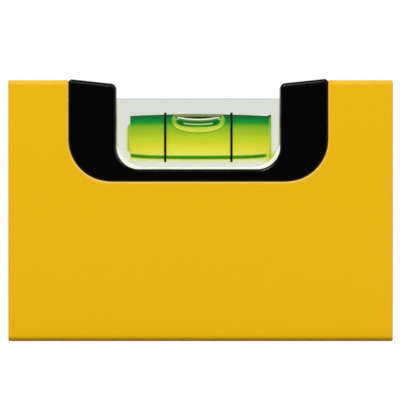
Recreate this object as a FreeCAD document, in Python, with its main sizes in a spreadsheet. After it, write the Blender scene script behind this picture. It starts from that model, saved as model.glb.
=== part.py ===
"""Short box-section spirit level with an acrylic block vial in a moulded saddle.

X runs along the level, Y from the front face to the rear one and Z up. The origin
is the middle of the sole. The saddle sits a little left of the profile's middle. All
pieces but the end plugs are drawn about the saddle's middle, and those of the vial
about the axis of its bore, and their Placement brings them into place.
"""
import FreeCAD, Part
import math
import os
import re

import Sketcher

# Driving sizes in millimetres, the slope in degrees: alias, value, meaning
SIZES = (
    ("end_length", 12.025, "profile from the saddle's side to each sawn end"),
    ("body_depth", 21.0, "profile from front face to rear face"),
    ("body_height", 50.0, "profile from sole to top face"),
    ("side_wall", 1.5, "front and rear walls of the profile"),
    ("top_wall", 2.6, "wall under the top face"),
    ("sole_wall", 2.6, "wall over the sole"),
    ("top_edge_radius", 1.0, "long edges of the top face"),
    ("sole_edge_radius", 1.2, "long edges of the sole"),
    ("hollow_corner_radius", 1.0, "long corners of the hollow"),
    ("end_edge", 0.2, "broken edge at each sawn end"),
    ("cutout_edge", 0.3, "broken edge round the cut-out"),
    ("saddle_shift", 0.42, "saddle's middle to the left of the profile's middle"),
    ("saddle_fit", 0.08, "gap between the saddle and the cut-out"),
    ("saddle_width", 49.55, "saddle along the level"),
    ("saddle_height", 19.4, "saddle from its underside to the top face"),
    ("saddle_recess", 0.2, "saddle's faces behind the profile's faces"),
    ("saddle_corner_radius", 8.04, "lower outer corners of the saddle"),
    ("saddle_floor", 2.3, "plastic under the window"),
    ("saddle_edge", 0.3, "front and rear edges of the saddle"),
    ("horn_slope", 6.1, "fall of the horn tops towards the window"),
    ("horn_inner_radius", 0.7, "inner top corner of each horn"),
    ("horn_outer_radius", 0.35, "outer top corner of each horn"),
    ("horn_width", 9.1, "horn from its side to the window"),
    ("window_corner_radius", 4.4, "lower corners of the window"),
    ("lug_reach", 1.2, "snap lug past the horn's side"),
    ("lug_height", 4.0, "snap lug from its catch to the end of its ramp"),
    ("lug_depth", 12.0, "snap lug across the level"),
    ("lug_gap", 0.1, "catch of the lug below the top wall"),
    ("core_wall", 1.84, "plastic at both sides of the core in each horn"),
    ("core_skin", 2.0, "plastic in front of, behind and above the core"),
    ("block_recess", 1.2, "block's faces behind the saddle's faces"),
    ("block_gap", 0.1, "gap between the block and the window's sides"),
    ("block_corner_radius", 5.6, "lower corners of the block"),
    ("block_edge", 0.15, "polished edges of the block's faces"),
    ("bed_thickness", 0.45, "resin under the block"),
    ("bond_gap", 0.02, "play between the resin and its neighbours"),
    ("flange_reach", 1.5, "block's flange past the window's side"),
    ("flange_fit", 0.1, "gap between the flange and its slot"),
    ("bore_floor", 0.95, "acrylic under the bore"),
    ("bore_roof", 3.0, "acrylic over the bore"),
    ("bore_radius", 4.6, "bore at its middle"),
    ("bore_arc_radius", 250.0, "lengthwise arc of the bore's wall"),
    ("bore_end_wall", 2.475, "acrylic between the bore's closed end and the block's side"),
    ("dish_depth", 0.48, "dimple in the closed end"),
    ("dish_mouth", 2.9, "radius of that dimple at its mouth"),
    ("dish_floor", 2.3, "radius of its flat floor"),
    ("stopper_length", 3.075, "stopper along the bore"),
    ("stopper_fit", 0.02, "gap round the stopper"),
    ("seat_step", 0.2, "counterbore for the stopper past the bore's radius"),
    ("seat_floor", 0.65, "flange under the stopper's seat"),
    ("seat_cheek", 1.2, "flange in front of and behind the stopper's seat"),
    ("ring_spacing", 12.7, "reading rings, middle to middle"),
    ("ring_width", 0.46, "reading ring along the bore"),
    ("ring_thickness", 0.25, "reading ring from inside to outside"),
    ("ring_fit", 0.01, "gap round a ring in its groove"),
    ("wet_gap", 0.01, "play between the liquid and the bore"),
    ("bubble_length", 10.14, "bubble along the level"),
    ("bubble_oval", 5.36, "full height of the oval that the crown cuts"),
    ("bubble_drop", 1.13, "middle of that oval below the crown"),
    ("bubble_gap", 0.05, "gap between the bubble and the liquid"),
    ("crown_film", 0.06, "film of liquid over the bubble's ends"),
    ("side_film", 0.3, "film of liquid beside the bubble"),
    ("plug_plate", 2.0, "outer plate of an end plug"),
    ("plug_wall", 1.4, "skirt of an end plug"),
    ("plug_room", 2.825, "gap between an end plug and the tips of the lugs"),
    ("plug_fit", 0.1, "gap between an end plug and the hollow"),
    ("plug_edge", 0.3, "broken edge of the outer plate"),
    ("rib_width", 1.2, "grip rib of an end plug"),
    ("rib_spacing", 22.0, "grip ribs, middle to middle"),
    ("rib_gap", 0.02, "gap between a grip rib and the wall"),
)

# Formulas shared by mating pieces
SADDLE_HALF = "(saddle_width / 2)"
HALF_LENGTH = f"({SADDLE_HALF} + end_length)"
SADDLE_LOW = "(body_height - saddle_height)"
SADDLE_DEPTH = "(body_depth - 2 * saddle_recess)"
WINDOW_HALF = f"({SADDLE_HALF} - horn_width)"
WINDOW_FLOOR = f"({SADDLE_LOW} + saddle_floor)"
SLOT_HALF = f"({WINDOW_HALF} + flange_reach)"
BLOCK_DEPTH = f"({SADDLE_DEPTH} - 2 * block_recess)"
BLOCK_HALF = f"({WINDOW_HALF} - block_gap)"
BLOCK_LOW = "(-bore_floor - bore_radius)"
BLOCK_TOP = "(bore_radius + bore_roof)"
BORE_HEIGHT = f"({WINDOW_FLOOR} + bed_thickness - {BLOCK_LOW})"
BORE_LEFT = f"({BLOCK_HALF} - bore_end_wall)"
SEAT_RADIUS = "(bore_radius + seat_step)"
FLANGE_HALF = f"({SLOT_HALF} - flange_fit)"
FLANGE_LOW = f"(-{SEAT_RADIUS} - seat_floor)"
FLANGE_DEPTH = f"(2 * ({SEAT_RADIUS} + seat_cheek))"
BORE_RIGHT = f"({FLANGE_HALF} - stopper_length)"
HOLLOW_LOW = "sole_wall"
HOLLOW_HIGH = "(body_height - top_wall)"
HOLLOW_HALF = "(body_depth / 2 - side_wall)"
RING_PLACE = "(ring_spacing / 2)"
LUG_TIP = f"({SADDLE_HALF} + lug_reach)"
PLUG_SKIRT = f"({HALF_LENGTH} - plug_plate - {LUG_TIP} - plug_room)"
CENTRE_DROP = "(bore_arc_radius - bore_radius)"
OVER_ALL = "(body_height + saddle_height)"

TOUCH = 1e-4

doc = FreeCAD.newDocument("spirit_level")
sheet = doc.addObject("Spreadsheet::Sheet", "dims")
for row, (alias, size, meaning) in enumerate(SIZES, 1):
    sheet.set(f"A{row}", alias)
    sheet.set(f"B{row}", str(size))
    sheet.setAlias(f"B{row}", alias)
    sheet.set(f"C{row}", meaning)
doc.recompute()


def bound(formula):
    """Turn each size's name in a formula into a reference to its cell."""
    return re.sub(r"[a-z]+(?:_[a-z]+)+", r"dims.\g<0>", formula)


def number(formula):
    """Work out a formula."""
    return float(sheet.evalExpression(bound(formula)))


def bore_at(place):
    """Formula for the bore's radius at a distance from its middle."""
    return f"(sqrt(bore_arc_radius ^ 2 - ({place}) ^ 2) - {CENTRE_DROP})"


def origin_feature(body, role):
    """Find one of a body's own origin planes or axes."""
    return [part for part in body.Origin.OriginFeatures if part.Role == role][0]


def new_body(name, lift="0"):
    """Start a body that is drawn about the saddle's middle, lifted by a formula."""
    body = doc.addObject("PartDesign::Body", name)
    body.Label = name
    body.setExpression("Placement.Base.x", bound("-saddle_shift"))
    body.setExpression("Placement.Base.z", bound(lift))
    return body


def new_sketch(body, name, plane):
    """Attach an empty sketch to one of the body's origin planes."""
    sketch = body.newObject("Sketcher::SketchObject", name)
    sketch.AttachmentSupport = [(origin_feature(body, plane), "")]
    sketch.MapMode = "FlatFace"
    return sketch


def arc_through(start, end, radius, side):
    """Arc between two points that bulges to the left (1) or right (-1) of the way from start to end."""
    middle = (start + end) * 0.5
    way = end - start
    left = FreeCAD.Vector(-way.y, way.x, 0).normalize()
    rise = radius - math.sqrt(radius ** 2 - (way.Length / 2) ** 2)
    return Part.Arc(start, middle + left * (side * rise), end)


def end_near(sketch, line, point):
    """Which end of a line or arc, 1 or 2, lies at a point."""
    gap = sketch.getPoint(line, 1).distanceToPoint(point)
    return 1 if gap < sketch.getPoint(line, 2).distanceToPoint(point) else 2


def bind(sketch, constraint, formula):
    """Add a constraint and bind it to a formula."""
    index = sketch.addConstraint(constraint)
    sketch.setExpression(f"Constraints[{index}]", bound(formula))


def draw(sketch, corners, arcs=None):
    """Draw a closed outline through corners, with arcs as {corner it starts at: (radius, side)}."""
    arcs = arcs or {}
    points = [FreeCAD.Vector(number(across), number(up), 0) for across, up in corners]
    lines = []
    for index, start in enumerate(points):
        end = points[(index + 1) % len(points)]
        curve = Part.LineSegment(start, end)
        if index in arcs:
            curve = arc_through(start, end, number(arcs[index][0]), arcs[index][1])
        lines.append(sketch.addGeometry(curve))
    for index, point in enumerate(points):
        line = lines[index]
        before = lines[index - 1]
        end = end_near(sketch, line, point)
        meet = (before, end_near(sketch, before, point), line, end)
        sketch.addConstraint(Sketcher.Constraint("Coincident", *meet))
        across, up = corners[index]
        bind(sketch, Sketcher.Constraint("DistanceX", -1, 1, line, end, point.x), across)
        bind(sketch, Sketcher.Constraint("DistanceY", -1, 1, line, end, point.y), up)
    for index, (radius, side) in arcs.items():
        bind(sketch, Sketcher.Constraint("Radius", lines[index], number(radius)), radius)


def rectangle(left, right, low, high):
    """Corners of an upright rectangle."""
    return ((left, low), (right, low), (right, high), (left, high))


def balanced(half, low, high):
    """Corners of a rectangle that reaches as far to the left as to the right."""
    return rectangle(f"-{half}", half, low, high)


def sweep(body, kind, name, sketch, length):
    """Pad or pocket a sketch equally to both sides of its plane."""
    feature = body.newObject(f"PartDesign::{kind}", name)
    feature.Profile = sketch
    feature.SideType = "Symmetric"
    feature.setExpression("Length", bound(length))
    doc.recompute()
    return feature


def turn(body, kind, name, sketch):
    """Revolve or groove a sketch about the body's X axis."""
    feature = body.newObject(f"PartDesign::{kind}", name)
    feature.Profile = sketch
    feature.ReferenceAxis = (origin_feature(body, "X_Axis"), [""])
    feature.Angle = 360
    doc.recompute()
    return feature


def soften(body, kind, name, size, wanted):
    """Fillet or chamfer the edges of the body's last feature that pass a test."""
    last = body.Tip
    chosen = [f"Edge{index}" for index, edge in enumerate(last.Shape.Edges, 1) if wanted(edge)]
    feature = body.newObject(f"PartDesign::{kind}", name)
    feature.Base = (last, chosen)
    feature.setExpression("Radius" if kind == "Fillet" else "Size", bound(size))
    doc.recompute()
    return feature


def near(first, second):
    """Whether two lengths agree."""
    return abs(first - second) < TOUCH


def along(edge, axis):
    """Whether an edge runs straight along an axis."""
    if edge.Curve.TypeId != "Part::GeomLine":
        return False
    way = edge.tangentAt(edge.FirstParameter)
    return near(abs(getattr(way, axis)), 1)


def corner_edges(axis, **places):
    """Test for edges along an axis at given distances, of either sign for x and y."""
    wanted = {key: number(formula) for key, formula in places.items()}

    def test(edge):
        middle = edge.CenterOfMass
        seen = {"x": abs(middle.x), "y": abs(middle.y), "z": middle.z}
        return along(edge, axis) and all(near(seen[key], place) for key, place in wanted.items())

    return test


def body_profile():
    """Aluminium box extrusion with the cut-out for the saddle through its top and both sides."""
    body = new_body("body_profile")
    section = new_sketch(body, "box_section", "YZ_Plane")
    draw(section, balanced("(body_depth / 2)", "0", "body_height"))
    draw(section, balanced(HOLLOW_HALF, HOLLOW_LOW, HOLLOW_HIGH))
    section.setExpression("AttachmentOffset.Base.z", bound("saddle_shift"))
    sweep(body, "Pad", "extrusion", section, f"(2 * {HALF_LENGTH})")
    half_depth = "(body_depth / 2)"
    soften(body, "Fillet", "top_edges", "top_edge_radius", corner_edges("x", y=half_depth, z="body_height"))
    soften(body, "Fillet", "sole_edges", "sole_edge_radius", corner_edges("x", y=half_depth, z="0"))
    soften(body, "Fillet", "hollow_low", "hollow_corner_radius", corner_edges("x", y=HOLLOW_HALF, z=HOLLOW_LOW))
    soften(body, "Fillet", "hollow_high", "hollow_corner_radius", corner_edges("x", y=HOLLOW_HALF, z=HOLLOW_HIGH))

    half = f"({SADDLE_HALF} + saddle_fit)"
    low = f"({SADDLE_LOW} - saddle_fit)"
    cut = new_sketch(body, "cutout_outline", "XZ_Plane")
    draw(cut, balanced(half, low, OVER_ALL))
    sweep(body, "Pocket", "cutout", cut, "(2 * body_depth)")
    round_size = "(saddle_corner_radius + saddle_fit)"
    soften(body, "Fillet", "cutout_corners", round_size, corner_edges("y", x=half, z=low))

    half_wide = number(half)
    front = number(half_depth)

    def round_the_cutout(edge):
        box = edge.BoundBox
        inside = max(abs(box.XMin), abs(box.XMax)) < half_wide + TOUCH
        on_face = near(abs(box.YMin), front) and near(abs(box.YMax), front)
        return inside and on_face

    soften(body, "Chamfer", "cutout_edges", "cutout_edge", round_the_cutout)
    end = number(HALF_LENGTH)
    shift = number("saddle_shift")

    def round_the_end(edge):
        box = edge.BoundBox
        at_end = near(abs(box.XMin - shift), end) and near(abs(box.XMax - shift), end)
        reach = max(abs(box.YMin), abs(box.YMax))
        outer = near(reach, front) or box.ZMax < TOUCH or near(box.ZMin, number("body_height"))
        return at_end and outer

    soften(body, "Chamfer", "end_edges", "end_edge", round_the_end)
    return body


def vial_saddle():
    """Moulded U that fills the cut-out, with a slot for the block's flange, snap lugs and cored horns."""
    body = new_body("vial_saddle")
    shape = new_sketch(body, "saddle_outline", "XZ_Plane")
    fall = f"(({SADDLE_HALF} - {WINDOW_HALF}) * tan(horn_slope * 1 deg))"
    inner_top = f"(body_height - {fall})"
    corners = (
        (f"-{SADDLE_HALF}", SADDLE_LOW),
        (SADDLE_HALF, SADDLE_LOW),
        (SADDLE_HALF, "body_height"),
        (WINDOW_HALF, inner_top),
        (WINDOW_HALF, WINDOW_FLOOR),
        (f"-{WINDOW_HALF}", WINDOW_FLOOR),
        (f"-{WINDOW_HALF}", inner_top),
        (f"-{SADDLE_HALF}", "body_height"),
    )
    draw(shape, corners)
    sweep(body, "Pad", "saddle", shape, SADDLE_DEPTH)
    outer_low = corner_edges("y", x=SADDLE_HALF, z=SADDLE_LOW)
    soften(body, "Fillet", "outer_corners", "saddle_corner_radius", outer_low)
    window_low = corner_edges("y", x=WINDOW_HALF, z=WINDOW_FLOOR)
    soften(body, "Fillet", "window_corners", "window_corner_radius", window_low)
    inner_edge = corner_edges("y", x=WINDOW_HALF, z=inner_top)
    soften(body, "Fillet", "horn_inner_corners", "horn_inner_radius", inner_edge)
    outer_edge = corner_edges("y", x=SADDLE_HALF, z="body_height")
    soften(body, "Fillet", "horn_outer_corners", "horn_outer_radius", outer_edge)

    front = number(f"({SADDLE_DEPTH} / 2)")
    lowest_top = number(f"({inner_top} - horn_inner_radius)")

    def horn_rims(edge):
        box = edge.BoundBox
        on_face = near(abs(box.YMin), front) and near(abs(box.YMax), front)
        return on_face and box.ZMin > lowest_top - TOUCH

    soften(body, "Chamfer", "horn_rims", "saddle_edge", horn_rims)

    slot = new_sketch(body, "flange_slot_outline", "XZ_Plane")
    slot_floor = f"({FLANGE_LOW} + {BORE_HEIGHT} - flange_fit)"
    draw(slot, balanced(SLOT_HALF, slot_floor, OVER_ALL))
    sweep(body, "Pocket", "flange_slot", slot, f"({FLANGE_DEPTH} + 2 * flange_fit)")

    core = new_sketch(body, "core_outline", "XZ_Plane")
    near_side = f"({SLOT_HALF} + core_wall)"
    far_side = f"({SADDLE_HALF} - core_wall)"
    core_top = f"({inner_top} - core_skin)"
    draw(core, rectangle(near_side, far_side, "0", core_top))
    draw(core, rectangle(f"-{far_side}", f"-{near_side}", "0", core_top))
    sweep(body, "Pocket", "horn_cores", core, f"({SADDLE_DEPTH} - 2 * core_skin)")

    lug = new_sketch(body, "lug_outline", "XZ_Plane")
    catch = f"({HOLLOW_HIGH} - lug_gap)"
    root = f"({SADDLE_HALF} - lug_reach)"
    ramp_end = f"({catch} - lug_height)"
    draw(lug, ((root, ramp_end), (SADDLE_HALF, ramp_end), (LUG_TIP, catch), (root, catch)))
    draw(lug, ((f"-{root}", catch), (f"-{LUG_TIP}", catch), (f"-{SADDLE_HALF}", ramp_end), (f"-{root}", ramp_end)))
    sweep(body, "Pad", "snap_lugs", lug, "lug_depth")
    return body


def vial_block():
    """Clear acrylic block with a flange round its middle and the barrel-shaped bore."""
    body = new_body("vial_block", BORE_HEIGHT)
    face = new_sketch(body, "block_outline", "XZ_Plane")
    draw(face, balanced(BLOCK_HALF, BLOCK_LOW, BLOCK_TOP))
    sweep(body, "Pad", "block", face, BLOCK_DEPTH)
    low_corners = corner_edges("y", x=BLOCK_HALF, z=BLOCK_LOW)
    soften(body, "Fillet", "block_corners", "block_corner_radius", low_corners)
    front = number(f"({BLOCK_DEPTH} / 2)")

    def face_edges(edge):
        box = edge.BoundBox
        return near(abs(box.YMin), front) and near(abs(box.YMax), front)

    soften(body, "Chamfer", "face_edges", "block_edge", face_edges)
    flange = new_sketch(body, "flange_outline", "XZ_Plane")
    draw(flange, balanced(FLANGE_HALF, FLANGE_LOW, BLOCK_TOP))
    sweep(body, "Pad", "flange", flange, FLANGE_DEPTH)

    barrel = new_sketch(body, "bore_outline", "XZ_Plane")
    corners, arcs = barrel_outline("0", "0", False)
    draw(barrel, corners, arcs)
    turn(body, "Groove", "bore", barrel)
    seat = new_sketch(body, "seat_outline", "XZ_Plane")
    draw(seat, rectangle(BORE_RIGHT, f"({FLANGE_HALF} + flange_reach)", "0", SEAT_RADIUS))
    turn(body, "Groove", "stopper_seat", seat)
    rings = new_sketch(body, "ring_groove_outline", "XZ_Plane")
    half_width = "(ring_width / 2 + ring_fit)"
    depth = f"({bore_at(RING_PLACE)} + ring_thickness + ring_fit)"
    for side in ("", "-"):
        middle = f"({side}{RING_PLACE})"
        draw(rings, rectangle(f"({middle} - {half_width})", f"({middle} + {half_width})", "0", depth))
    turn(body, "Groove", "ring_grooves", rings)
    return body


def barrel_outline(inset, wet, halved):
    """Half section of the barrel: its radius less inset, its ends less wet, its arc in one piece or in halves."""
    left = f"({BORE_LEFT} - {wet})"
    right = f"({BORE_RIGHT} - {wet})"
    corners = [
        (f"(-{left} - dish_depth)", "0"),
        (f"(-{left} - dish_depth)", "-dish_floor"),
        (f"(-{left})", "-dish_mouth"),
        (f"(-{left})", f"({inset} - {bore_at(BORE_LEFT)})"),
        (right, f"({inset} - {bore_at(BORE_RIGHT)})"),
        (right, "0"),
    ]
    arcs = {3: ("bore_arc_radius", -1)}
    if halved:
        corners.insert(4, ("0", f"({inset} - bore_radius)"))
        arcs[4] = ("bore_arc_radius", -1)
    return corners, arcs


def vial_end_stopper():
    """Clear disc that closes the bore at its open end."""
    body = new_body("vial_end_stopper", BORE_HEIGHT)
    section = new_sketch(body, "stopper_outline", "XZ_Plane")
    draw(section, rectangle(BORE_RIGHT, FLANGE_HALF, "0", f"({SEAT_RADIUS} - stopper_fit)"))
    turn(body, "Revolution", "stopper", section)
    return body


def reading_ring(name, side):
    """Black ring set flush into the bore's wall."""
    body = new_body(name, BORE_HEIGHT)
    section = new_sketch(body, f"{name}_outline", "XZ_Plane")
    middle = f"({side}{RING_PLACE})"
    inside = bore_at(RING_PLACE)
    edges = (f"({middle} - ring_width / 2)", f"({middle} + ring_width / 2)")
    draw(section, rectangle(*edges, inside, f"({inside} + ring_thickness)"))
    turn(body, "Revolution", f"{name}_turned", section)
    return body


def resin_bed():
    """Cured resin that beds the block on the window's floor and corners."""
    body = new_body("resin_bed")
    outline = new_sketch(body, "bed_outline", "XZ_Plane")
    half = f"({WINDOW_HALF} - bond_gap)"
    low = f"({WINDOW_FLOOR} + bond_gap)"
    radius = "(window_corner_radius - bond_gap)"
    corners = (
        (f"-({half} - {radius})", low),
        (f"({half} - {radius})", low),
        (half, f"({low} + {radius})"),
        (f"-{half}", f"({low} + {radius})"),
    )
    draw(outline, corners, {1: (radius, -1), 3: (radius, -1)})
    sweep(body, "Pad", "bed", outline, f"({BLOCK_DEPTH} - 2 * block_edge)")
    print_of_block = new_sketch(body, "block_print_outline", "XZ_Plane")
    block_low = f"({BLOCK_LOW} + {BORE_HEIGHT} - bond_gap)"
    block_half = f"({BLOCK_HALF} + bond_gap)"
    radius = "(block_corner_radius + bond_gap)"
    corners = (
        (f"-({block_half} - {radius})", block_low),
        (f"({block_half} - {radius})", block_low),
        (block_half, f"({block_low} + {radius})"),
        (block_half, OVER_ALL),
        (f"-{block_half}", OVER_ALL),
        (f"-{block_half}", f"({block_low} + {radius})"),
    )
    draw(print_of_block, corners, {1: (radius, -1), 5: (radius, -1)})
    sweep(body, "Pocket", "block_print", print_of_block, "(2 * body_depth)")
    print_of_flange = new_sketch(body, "flange_print_outline", "XZ_Plane")
    flange_low = f"({FLANGE_LOW} + {BORE_HEIGHT} - bond_gap)"
    draw(print_of_flange, balanced(SLOT_HALF, flange_low, OVER_ALL))
    sweep(body, "Pocket", "flange_print", print_of_flange, f"({FLANGE_DEPTH} + 2 * bond_gap)")
    return body


def oval(name, growth):
    """Upright oval bar across the level: the bubble's outline, grown by a gap."""
    edge = doc.addObject("Part::Ellipse", f"{name}_edge")
    edge.setExpression("MajorRadius", bound(f"bubble_length / 2 + {growth}"))
    edge.setExpression("MinorRadius", bound(f"bubble_oval / 2 + {growth}"))
    edge.Placement.Rotation = FreeCAD.Rotation(FreeCAD.Vector(1, 0, 0), 90)
    edge.setExpression("Placement.Base.x", bound("-saddle_shift"))
    edge.setExpression("Placement.Base.z", bound(f"{BORE_HEIGHT} + bore_radius - bubble_drop"))
    bar = doc.addObject("Part::Extrusion", name)
    bar.Base = edge
    bar.DirMode = "Custom"
    bar.Dir = FreeCAD.Vector(0, 1, 0)
    bar.setExpression("LengthFwd", bound("body_depth"))
    bar.Symmetric = True
    bar.Solid = True
    return bar


def spirit_fill():
    """The liquid: the barrel's inside less the hollow that the bubble keeps open."""
    barrel = new_body("spirit_barrel", BORE_HEIGHT)
    section = new_sketch(barrel, "spirit_outline", "XZ_Plane")
    corners, arcs = barrel_outline("wet_gap", "wet_gap", True)
    draw(section, corners, arcs)
    turn(barrel, "Revolution", "spirit_turned", section)
    liquid = doc.addObject("Part::Cut", "spirit_fill")
    liquid.Base = barrel
    liquid.Tool = oval("bubble_hollow", "bubble_gap")
    liquid.Label = "spirit_fill"
    return liquid


def air_bubble():
    """The bubble: an oval bar trimmed to a round bar that lies just under the bore's crown."""
    barrel = new_body("bubble_barrel", f"({BORE_HEIGHT} + side_film - crown_film)")
    section = new_sketch(barrel, "bubble_barrel_outline", "XZ_Plane")
    radius = f"({bore_at('bubble_length / 2')} - side_film)"
    draw(section, rectangle("-bubble_length", "bubble_length", "0", radius))
    turn(barrel, "Revolution", "bubble_turned", section)
    bubble = doc.addObject("Part::Common", "air_bubble")
    bubble.Base = barrel
    bubble.Tool = oval("bubble_oval_bar", "0")
    bubble.Label = "air_bubble"
    return bubble


def end_plug(name, side):
    """Moulded plug set flush into one end of the profile, with a skirt and grip ribs."""
    body = doc.addObject("PartDesign::Body", name)
    body.Label = name
    if side < 0:
        body.Placement.Rotation = FreeCAD.Rotation(FreeCAD.Vector(0, 0, 1), 180)
    body.setExpression("Placement.Base.x", bound(f"{side} * {HALF_LENGTH}"))
    half = f"({HOLLOW_HALF} - plug_fit)"
    low = f"({HOLLOW_LOW} + plug_fit)"
    high = f"({HOLLOW_HIGH} - plug_fit)"
    outline = new_sketch(body, f"{name}_outline", "YZ_Plane")
    draw(outline, balanced(half, low, high))
    depth = f"(plug_plate + {PLUG_SKIRT})"
    inward(body, "Pad", f"{name}_block", outline, depth)
    radius = "(hollow_corner_radius - plug_fit)"
    soften(body, "Fillet", f"{name}_low", radius, corner_edges("x", y=half, z=low))
    soften(body, "Fillet", f"{name}_high", radius, corner_edges("x", y=half, z=high))

    def rim(edge):
        box = edge.BoundBox
        return near(box.XMin, 0) and near(box.XMax, 0)

    soften(body, "Chamfer", f"{name}_rim", "plug_edge", rim)
    inside = new_sketch(body, f"{name}_inside", "YZ_Plane")
    inside.setExpression("AttachmentOffset.Base.z", bound("-plug_plate"))
    draw(inside, balanced(f"({half} - plug_wall)", f"({low} + plug_wall)", f"({high} - plug_wall)"))
    inward(body, "Pocket", f"{name}_hollow", inside, PLUG_SKIRT)

    ribs = new_sketch(body, f"{name}_rib_outline", "YZ_Plane")
    ribs.setExpression("AttachmentOffset.Base.z", bound("-plug_plate"))
    middle = f"(({low} + {high}) / 2)"
    wall = f"({HOLLOW_HALF} - rib_gap)"
    buried = f"({half} - plug_wall / 2)"
    for direction in ("-", "+"):
        centre = f"({middle} {direction} rib_spacing / 2)"
        ends = (f"({centre} - rib_width / 2)", f"({centre} + rib_width / 2)")
        draw(ribs, rectangle(buried, wall, *ends))
        draw(ribs, rectangle(f"-{wall}", f"-{buried}", *ends))
    inward(body, "Pad", f"{name}_ribs", ribs, PLUG_SKIRT)
    return body


def inward(body, kind, name, sketch, length):
    """Pad or pocket a sketch of an end plug towards the middle of the level."""
    feature = body.newObject(f"PartDesign::{kind}", name)
    feature.Profile = sketch
    feature.Reversed = kind == "Pad"
    feature.setExpression("Length", bound(length))
    doc.recompute()
    return feature


def save(parts):
    """Check every object of the document, then write one file for each piece."""
    doc.recompute()
    for item in doc.Objects:
        failed = [word for word in item.State if word in ("Invalid", "Error")]
        if failed:
            raise RuntimeError(f"{item.Name}: {item.State} {item.getStatusString()}")
    for part in parts:
        if part.Shape.isNull() or not part.Shape.isValid():
            raise RuntimeError(f"{part.Label} has no valid shape")
    os.makedirs("parts", exist_ok=True)
    for part in parts:
        part.Shape.exportStep(f"parts/{part.Label}.step")
        solids = len(part.Shape.Solids)
        print(f"{part.Label}: {solids} solid, {part.Shape.Volume:.2f} mm3")


save(
    [
        body_profile(),
        vial_saddle(),
        resin_bed(),
        vial_block(),
        vial_end_stopper(),
        reading_ring("reading_ring_left", "-"),
        reading_ring("reading_ring_right", ""),
        spirit_fill(),
        air_bubble(),
        end_plug("end_plug_left", -1),
        end_plug("end_plug_right", 1),
    ]
)
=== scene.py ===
"""Looks of the spirit level: coat, saddle, acrylic vial with its spirit and bubble, and the studio.

Lengths are metres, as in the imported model. Sizes written in millimetres are multiplied by MM.
In the materials x, y and z are millimetres, with x from the vial's middle and z from the sole.
"""
import math

import bmesh
import bpy
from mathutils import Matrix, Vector


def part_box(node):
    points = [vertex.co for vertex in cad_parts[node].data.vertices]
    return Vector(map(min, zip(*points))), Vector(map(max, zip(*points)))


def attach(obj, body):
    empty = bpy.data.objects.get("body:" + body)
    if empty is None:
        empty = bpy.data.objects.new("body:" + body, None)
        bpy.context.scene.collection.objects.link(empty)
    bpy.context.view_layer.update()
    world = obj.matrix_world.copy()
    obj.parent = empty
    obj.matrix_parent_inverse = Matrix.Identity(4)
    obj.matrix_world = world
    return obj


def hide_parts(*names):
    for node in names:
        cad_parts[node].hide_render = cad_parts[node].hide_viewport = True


MM = 0.001

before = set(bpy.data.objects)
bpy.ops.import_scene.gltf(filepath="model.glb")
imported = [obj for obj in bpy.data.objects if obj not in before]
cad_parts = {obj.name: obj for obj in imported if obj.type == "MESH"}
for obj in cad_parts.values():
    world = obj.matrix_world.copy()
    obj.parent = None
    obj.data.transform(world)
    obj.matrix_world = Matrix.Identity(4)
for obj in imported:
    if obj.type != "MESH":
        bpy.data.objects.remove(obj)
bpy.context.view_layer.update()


def middle(node):
    """Centre of a CAD node's box."""
    low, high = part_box(node)
    return (low + high) / 2


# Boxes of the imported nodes
BODY_LOW, BODY_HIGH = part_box("body_profile")
SADDLE_LOW, SADDLE_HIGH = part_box("vial_saddle")
BLOCK_LOW, BLOCK_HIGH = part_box("vial_block")
STOPPER_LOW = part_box("vial_end_stopper")[0]
SPIRIT_LOW, SPIRIT_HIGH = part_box("spirit_fill")
BUBBLE_LOW, BUBBLE_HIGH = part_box("air_bubble")
RING_LOW, RING_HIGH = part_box("reading_ring_right")

# Bore of the vial, with the dimple in its closed end
VIAL_X = middle("vial_saddle").x
BORE_Z = middle("vial_end_stopper").z
WET_GAP = 0.01 * MM
BORE_RADIUS = SPIRIT_HIGH.z - BORE_Z + WET_GAP
BORE_ARC = 250 * MM
BORE_RIGHT = STOPPER_LOW.x - VIAL_X
DIMPLE_DEPTH = 0.48 * MM
DIMPLE_MOUTH = 2.9 * MM
DIMPLE_FLOOR = 2.3 * MM
BORE_LEFT = VIAL_X - SPIRIT_LOW.x - DIMPLE_DEPTH + WET_GAP

# Block and its flange
BLOCK_CORNER = 5.6 * MM
FLANGE_REACH = 1.5 * MM
FLANGE_FIT = 0.1 * MM
FLANGE_HALF_DEPTH = 6.0 * MM
FLANGE_DROP = 5.45 * MM

# Saddle with its horns, window, cores and snap lugs
LUG_REACH = 1.2 * MM
LUG_HEIGHT = 4.0 * MM
LUG_DEPTH = 12.0 * MM
LUG_CATCH = 0.1 * MM
SADDLE_HALF = (SADDLE_HIGH.x - SADDLE_LOW.x) / 2 - LUG_REACH
SADDLE_CORNER = 8.04 * MM
SADDLE_FIT = 0.08 * MM
SADDLE_FLOOR = 2.35 * MM
HORN_WIDTH = 9.1 * MM
HORN_SLOPE = math.radians(6.1)
HORN_INNER = 1.0 * MM
HORN_OUTER = 0.65 * MM
WINDOW_HALF = SADDLE_HALF - HORN_WIDTH
WINDOW_CORNER = 4.4 * MM
CORE_WALL = 1.84 * MM
CORE_SKIN = 2.0 * MM

# Box extrusion
SIDE_WALL = 1.5 * MM
TOP_WALL = 2.6 * MM
TOP_EDGE = 1.0 * MM
SOLE_EDGE = 1.2 * MM
HOLLOW_CORNER = 1.0 * MM

# Bubble's outline and the reading rings
OVAL_HALF = (BUBBLE_HIGH.x - BUBBLE_LOW.x) / 2 + 0.05 * MM
OVAL_HALF_HEIGHT = 2.66 * MM
OVAL_Z = 42.4 * MM
OVAL_POWER = 2.3
RING_HALF_WIDTH = (RING_HIGH.x - RING_LOW.x) / 2
RING_PLACE = (RING_HIGH.x + RING_LOW.x) / 2 - VIAL_X
RING_INSIDE = 0.16 * MM
RING_OUTSIDE = 0.3 * MM
RING_LIFT = 0.16 * MM

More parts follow.
